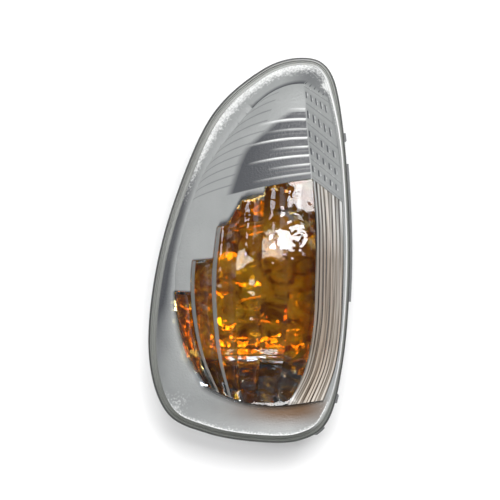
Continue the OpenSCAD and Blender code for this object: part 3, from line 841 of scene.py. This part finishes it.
rim, shader = new_material("rim_acrylic", Transmission_Weight=0.1, IOR=acrylic_ior)
tinted(rim, shader, (0.27, 0.28, 0.26), (0.8, 0.8, 0.8), (0.05, 0.052, 0.05))
smeared(rim, shader, 90.0, 0.25, 0.4)
print("made:", clear.name, edge.name, rim.name)

# %% [markdown]
# The satin land is acrylic with an eroded face, so little shape comes through it and it looks
# like pale grey plastic. The grain gives it a fine bump and an uneven roughness. The satin
# mark drives Alpha, so that the finish ends softly along the curved border.

# %% Satin acrylic
satin, shader = new_material("satin_acrylic", Transmission_Weight=0.2, IOR=acrylic_ior)
# The tint lays the marks' painted highlights, sparkle and shade onto the land.
tint = tinted(satin, shader, (0.44, 0.455, 0.45), (0.95, 0.96, 0.95), (0.06, 0.064, 0.073),
              sparkle=0.6)
grain = grained(satin, shader, 1500.0, 0.55, 0.0003)
tree = satin.node_tree
# The warm mark mixes in this brown: a painted glow of the amber filter behind the land.
warmed = add_mix(tree, B=(0.17, 0.1, 0.055, 1))
spread = add_node(tree, "MapRange", values={"To Min": 0.3, "To Max": 0.5})
connect(tree,
        (tint.outputs["Color"], warmed.inputs["A"]),
        (add_mark(tree, "warm"), warmed.inputs["Factor"]),
        (warmed.outputs["Result"], shader.inputs["Base Color"]),
        (grain.outputs["Speckle"], spread.inputs["Value"]),
        (spread.outputs["Result"], shader.inputs["Roughness"]),
        (add_mark(tree, "satin"), shader.inputs["Alpha"]))
print("made:", satin.name)

# %% [markdown]
# The fine flutes are too narrow for single reflections to be seen, so they read as long
# streaks, which are painted here as reflections in the colour. Their noise is stretched: it
# changes quickly across the flutes and slowly along them, because its coordinates are the
# across mark and the height on the lamp. The gleam mark, a painted highlight, lifts each
# crest, and a ramp turns the sum into dark gaps and bright lines.

# %% Streaks of the fine flutes
crest_lift = 0.22
streak_gain = 1.7
streak_drop = -0.44
fine, shader = new_material("fine_flute_acrylic", Transmission_Weight=0.35, IOR=acrylic_ior)
smeared(fine, shader, 70.0, 0.08, 0.22)
tree = fine.node_tree
flute = add_mark(tree, "across")
where = add_node(tree, "TexCoord")
axes = add_node(tree, "SeparateXYZ")
follow = add_node(tree, "CombineXYZ")
stretch = add_node(tree, "Mapping", values={"Scale": (2.2, 26.0, 1.0)})
streak = add_node(tree, "TexNoise", values={"Scale": 1.0, "Detail": 3.0})
lowered = add_node(tree, "Math", {"operation": "MULTIPLY_ADD"}, {1: streak_gain, 2: streak_drop})
blend = add_node(tree, "Math", {"operation": "MULTIPLY_ADD"}, {1: crest_lift})
tones = add_ramp(tree, (0.27, (0.03, 0.02, 0.015)), (0.42, (0.36, 0.32, 0.28)),
                 (0.52, (0.5, 0.51, 0.5)), (0.66, (1, 1, 1)))
connect(tree,
        (where.outputs["Object"], axes.inputs["Vector"]),
        (flute, follow.inputs["X"]),
        (axes.outputs["Y"], follow.inputs["Y"]),
        (follow.outputs["Vector"], stretch.inputs["Vector"]),
        (stretch.outputs["Vector"], streak.inputs["Vector"]),
        (streak.outputs["Fac"], lowered.inputs[0]),
        (add_mark(tree, "gleam"), blend.inputs[0]),
        (lowered.outputs["Value"], blend.inputs[2]),
        (blend.outputs["Value"], tones.inputs["Fac"]))
print("made:", fine.name)

# %% [markdown]
# The painted streaks are browner and darker beside the amber than at the ends of the lamp,
# as a painted reflection of the amber, and greyer next to the ridge than on the outside, as
# painted shade. Two more ramps say so, one along the lamp and one across the flutes, and both
# multiply the streaks.

# %% Warmth and shade of the fine flutes
along = add_node(tree, "MapRange", values={"From Min": -0.055, "From Max": 0.025})
warmth = add_ramp(tree, (0.0, (1, 0.94, 0.86)), (0.3, (0.54, 0.45, 0.36)),
                  (0.65, (0.58, 0.49, 0.41)), (0.85, (1, 1, 0.98)))
share = add_node(tree, "Math", {"operation": "DIVIDE"}, {1: fine_count})
shade = add_ramp(tree, (0.05, (0.62, 0.64, 0.66)), (0.4, (0.8, 0.74, 0.68)), (0.85, (1, 1, 1)))
warmed = add_mix(tree, "MULTIPLY", Factor=1.0)
shaded = add_mix(tree, "MULTIPLY", Factor=1.0)
connect(tree,
        (axes.outputs["Y"], along.inputs["Value"]),
        (along.outputs["Result"], warmth.inputs["Fac"]),
        (tones.outputs["Color"], warmed.inputs["A"]),
        (warmth.outputs["Color"], warmed.inputs["B"]),
        (flute, share.inputs[0]),
        (share.outputs["Value"], shade.inputs["Fac"]),
        (warmed.outputs["Result"], shaded.inputs["A"]),
        (shade.outputs["Color"], shaded.inputs["B"]),
        (shaded.outputs["Result"], shader.inputs["Base Color"]))
print("nodes in", fine.name + ":", len(tree.nodes))

# %% [markdown]
# The finished lens takes the CAD lens's place. Its materials go in the order of the finish
# numbers. It rides on the lamp's only body.

# %% Put the lens in place
for material in (clear, satin, rim, fine, edge):
    lens_piece.data.materials.append(material)
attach(lens_piece, "root")
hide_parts("lens")
print("lens materials:", len(lens_piece.data.materials))

# %% [markdown]
# The other pieces keep their CAD shape and take a finish. The reflector is a plastic bowl
# under a vacuum-laid mirror. Its ripple gives the broken, liquid picture that the flutes of
# the lens show, and a golden tint above the foot stands for the amber light that bounces
# about in the bowl. The foot stays cool and grey, with a ragged border between them.

# %% Metallised bowl
def dress(node, material):
    piece = nodes[node]
    piece.data.materials.clear()
    piece.data.materials.append(material)


metal, shader = new_material("metallised_bowl", Metallic=1.0)
smeared(metal, shader, 120.0, 0.03, 0.09)
rippled(metal, shader, 95.0, 0.002)
tree = metal.node_tree
where = add_node(tree, "TexCoord")
axes = add_node(tree, "SeparateXYZ")
cloud = add_noise(tree, 140.0, 2.0)
height = add_node(tree, "MapRange", values={"From Min": -0.052, "From Max": -0.026})
ragged = add_node(tree, "Math", {"operation": "ADD"})
border = add_node(tree, "MapRange", values={"From Min": 0.95, "From Max": 1.05})
glow = add_mix(tree, A=(0.42, 0.46, 0.52, 1), B=(0.95, 0.8, 0.35, 1))
connect(tree,
        (where.outputs["Object"], axes.inputs["Vector"]),
        (axes.outputs["Y"], height.inputs["Value"]),
        (height.outputs["Result"], ragged.inputs[0]),
        (cloud.outputs["Fac"], ragged.inputs[1]),
        (ragged.outputs["Value"], border.inputs["Value"]),
        (border.outputs["Result"], glow.inputs["Factor"]),
        (glow.outputs["Result"], shader.inputs["Base Color"]))
dress("reflector", metal)
print("dressed: reflector")

# %% [markdown]
# The amber filter is dyed acrylic. A fifth of it scatters light, which keeps its body golden
# where the bowl behind is dark. The photo shows places without amber at the foot and beside
# the big glint, so two soft spots thin out the dye: the distance to each spot lowers a noise,
# and where the sum falls under a limit, the dye is nearly clear.

# %% Dye of the amber filter
thin_spots = [((0.004, -0.048, 0.035), 0.012), ((0.0155, 0.017, 0.04), 0.008)]
thin_loss = -0.6
amber, shader = new_material("amber_acrylic", Transmission_Weight=0.8, IOR=acrylic_ior)
smeared(amber, shader, 80.0, 0.0, 0.03)
rippled(amber, shader, 80.0, 0.002)
tree = amber.node_tree
where = add_node(tree, "TexCoord")
cover = add_noise(tree, 150.0, 1.0).outputs["Fac"]
for spot, size in thin_spots:
    away = add_node(tree, "VectorMath", {"operation": "DISTANCE"}, {1: spot})
    loss = add_node(tree, "MapRange", values={"From Min": 0.6 * size, "From Max": 1.4 * size,
                                              "To Min": thin_loss, "To Max": 0.0})
    less = add_node(tree, "Math", {"operation": "ADD"})
    connect(tree,
            (where.outputs["Object"], away.inputs[0]),
            (away.outputs["Value"], loss.inputs["Value"]),
            (loss.outputs["Result"], less.inputs[0]),
            (cover, less.inputs[1]))
    cover = less.outputs["Value"]
dyed = add_node(tree, "MapRange", values={"From Min": 0.2, "From Max": 0.24})
veins = add_noise(tree, 110.0, 3.0, 2.0)
depths = add_ramp(tree, (0.36, (0.42, 0.145, 0.006)), (0.5, (0.92, 0.43, 0.01)),
                  (0.66, (1, 0.6, 0.02)))
dye = add_mix(tree, A=(0.86, 0.88, 0.92, 1))
connect(tree,
        (veins.outputs["Fac"], depths.inputs["Fac"]),
        (cover, dyed.inputs["Value"]),
        (dyed.outputs["Result"], dye.inputs["Factor"]),
        (depths.outputs["Color"], dye.inputs["B"]),
        (dye.outputs["Result"], shader.inputs["Base Color"]))
dress("amber_filter", amber)
print("dressed: amber_filter with", len(thin_spots), "thin spots")

# %% [markdown]
# The bulb is a capless one: a glass envelope with a flat wedge, two plated wires and a
# tungsten filament. The contacts that hold the wires are stamped brass, and the screws have a
# zinc plate. Metals differ in colour and in how uneven their gloss is, so one loop makes them
# all from a short table.

# %% Bulb and metal pieces
glass, shader = new_material("bulb_envelope", Base_Color=(0.98, 0.99, 1),
                             Transmission_Weight=1.0, IOR=1.5)
smeared(glass, shader, 100.0, 0.0, 0.02)
dress("bulb_glass", glass)

metal_finishes = [("plated_wire", (0.6, 0.57, 0.52), (300.0, 0.25, 0.4), ["bulb_leads"]),
                  ("tungsten", (0.28, 0.28, 0.3), (400.0, 0.4, 0.6), ["bulb_filament"]),
                  ("contact_brass", (0.62, 0.52, 0.32), (250.0, 0.2, 0.35),
                   ["contact_left", "contact_right"]),
                  ("zinc_plate", (0.6, 0.61, 0.6), (250.0, 0.25, 0.45), ["reflector_screws"])]
for name, colour, smears, pieces in metal_finishes:
    plated, shader = new_material(name, Base_Color=colour, Metallic=1.0)
    smeared(plated, shader, *smears)
    for node in pieces:
        dress(node, plated)
    print("dressed:", *pieces)

# %% [markdown]
# The housing and the bulb holder are moulded plastic, the seal and the cap are rubber, and
# the breather's membrane is a porous white disc. All of them have the mould's grain as bump,
# coarser and deeper on the rubber.

# %% Plastic and rubber pieces
grain_finishes = [("grey_housing", (0.13, 0.135, 0.14), 0.5, (1200.0, 0.25, 0.0002), ["housing"]),
                  ("black_holder", (0.09, 0.09, 0.095), 0.42, (1500.0, 0.2, 0.0002),
                   ["bulb_holder"]),
                  ("soft_rubber", (0.015, 0.015, 0.016), 0.8, (800.0, 0.3, 0.0002),
                   ["holder_seal", "breather_cap"]),
                  ("membrane", (0.8, 0.8, 0.8), 0.9, (3000.0, 0.4, 0.0001),
                   ["breather_membrane"])]
for name, colour, roughness, grains, pieces in grain_finishes:
    moulded, shader = new_material(name, Base_Color=colour, Roughness=roughness)
    grained(moulded, shader, *grains)
    for node in pieces:
        dress(node, moulded)
    print("dressed:", *pieces)

# %% [markdown]
# The lamp lies on a pale table. It is as pale as paper and catches the soft shadow.

# %% Floor
half_floor = 1.5
floor_mesh = bpy.data.meshes.new("floor")
floor_mesh.from_pydata([(-half_floor, -half_floor, 0), (half_floor, -half_floor, 0),
                        (half_floor, half_floor, 0), (-half_floor, half_floor, 0)], [],
                       [(0, 1, 2, 3)])
floor = bpy.data.objects.new("floor", floor_mesh)
bpy.context.scene.collection.objects.link(floor)
paper, shader = new_material("pale_floor", Base_Color=(0.93, 0.93, 0.93), Roughness=0.9)
floor_mesh.materials.append(paper)
print("floor:", 2 * half_floor, "m square")

# %% [markdown]
# Three soft panels light it. The main one hangs overhead, towards the tip, and throws the
# shadow past the wide end. A long low one faces the wide end and keeps that shadow pale, and
# a weak one on the left lifts the land there. All three aim at the middle of the lamp.

# %% Soft panels
lamp_middle = (0, 0, 0.03)


def panel(name, place, aim, width, height, power, turn=0.0):
    light = bpy.data.lights.new(name, "AREA")
    light.shape = "RECTANGLE"
    light.size = width
    light.size_y = height
    light.energy = power
    lamp = bpy.data.objects.new(name, light)
    lamp.location = place
    facing = (Vector(aim) - Vector(place)).to_track_quat("-Z", "Y")
    lamp.rotation_euler = (facing @ Quaternion((0, 0, 1), turn)).to_euler()
    bpy.context.scene.collection.objects.link(lamp)
    print(name, power, "W")


panel("overhead_panel", (0.1, 0.38, 0.97), lamp_middle, 0.5, 0.4, 10.0)
panel("fill_panel", (0.1, -1.0, 0.31), lamp_middle, 0.8, 0.34, 10.5)
panel("left_panel", (-0.8, 0.3, 0.6), lamp_middle, 0.4, 0.6, 1.6)

# %% [markdown]
# The photo shows a big white glint beside the ridge. Such a glint is the mirror image of a
# lamp, so a small panel goes exactly where the lens mirrors it to the camera: the direction
# to the camera, reflected about the surface normal at that spot. The normal comes from the
# grid, as the cross product of its two directions.

# %% Panel for the glint by the ridge
camera_height = 0.5
glint_v = 0.555
panel_distance = 0.75
column, row = left_cells - flute_columns, round(glint_v / slat_start * v_lower)
across = outer[row, column + 1] - outer[row, column - 1]
along = outer[row + 1, column] - outer[row - 1, column]
ridge_normal = Vector(np.cross(across, along)).normalized()
glint_spot = Vector(outer[row, column])
to_camera = (Vector((0, 0, camera_height)) - glint_spot).normalized()
mirror_way = 2 * ridge_normal.dot(to_camera) * ridge_normal - to_camera
panel("ridge_panel", glint_spot + mirror_way * panel_distance, glint_spot, 0.07, 0.17, 0.9,
      math.radians(25))
print("glint at", [round(c / MM) for c in glint_spot], "way", [round(c, 2) for c in mirror_way])

# %% [markdown]
# The room is the world's background, a ramp by height: white at the horizon, grey just above
# it, dim at middle heights, with a faint grey ring higher up and almost black straight above.
# The dim parts matter, because the lens mirrors them over the amber, and a bright room would
# lay a veil on it. For the world, Generated coordinates are the direction of view, so Z is
# the height.

# %% Dim room
world = bpy.data.worlds.new("room")
bpy.context.scene.world = world
world.use_nodes = True
tree = world.node_tree
backdrop = tree.nodes["Background"]
backdrop.inputs["Strength"].default_value = 0.8
where = add_node(tree, "TexCoord")
axes = add_node(tree, "SeparateXYZ")
grey_levels = [(0.3, 0.3), (0.6, 0.1), (0.72, 0.15), (0.8, 0.15), (0.88, 0.05)]
greys = [(place, (level, level, level * 1.02)) for place, level in grey_levels]
ramp = add_ramp(tree, (0.0, (1, 1, 1)), (0.06, (0.6, 0.6, 0.61)), *greys,
                (1.0, (0.02, 0.02, 0.02)))
connect(tree,
        (where.outputs["Generated"], axes.inputs["Vector"]),
        (axes.outputs["Z"], ramp.inputs["Fac"]),
        (ramp.outputs["Color"], backdrop.inputs["Color"]))
print("grey levels of the room:", len(ramp.color_ramp.elements))

# %% [markdown]
# The photo was taken straight from above. The camera looks down from half a metre, and its
# focal length follows from one measure: the lamp is 385 of the photo's 500 pixels long. The
# view transform is Standard, so colours come out as they are written. Light has to pass many
# faces in the lens, the filter and the bulb, so it gets more bounces than usual.

# %% Camera and light paths
photo_pixels = 500
lamp_pixels = 385
sensor_width = 36.0
view_width = photo_pixels / lamp_pixels * 2 * half_length
camera_data = bpy.data.cameras.new("camera")
camera_data.sensor_fit = "HORIZONTAL"
camera_data.sensor_width = sensor_width
camera_data.lens = sensor_width * (camera_height - flange_top) / view_width
camera_data.clip_start = 0.01
camera = bpy.data.objects.new("camera", camera_data)
camera.location = (0, 0, camera_height)
scene = bpy.context.scene
scene.collection.objects.link(camera)
scene.camera = camera
scene.view_settings.view_transform = "Standard"
scene.cycles.max_bounces = 24
scene.cycles.transmission_bounces = 20
scene.cycles.glossy_bounces = 12
scene.cycles.transparent_max_bounces = 16
print("camera lens:", round(camera_data.lens, 1), "mm")
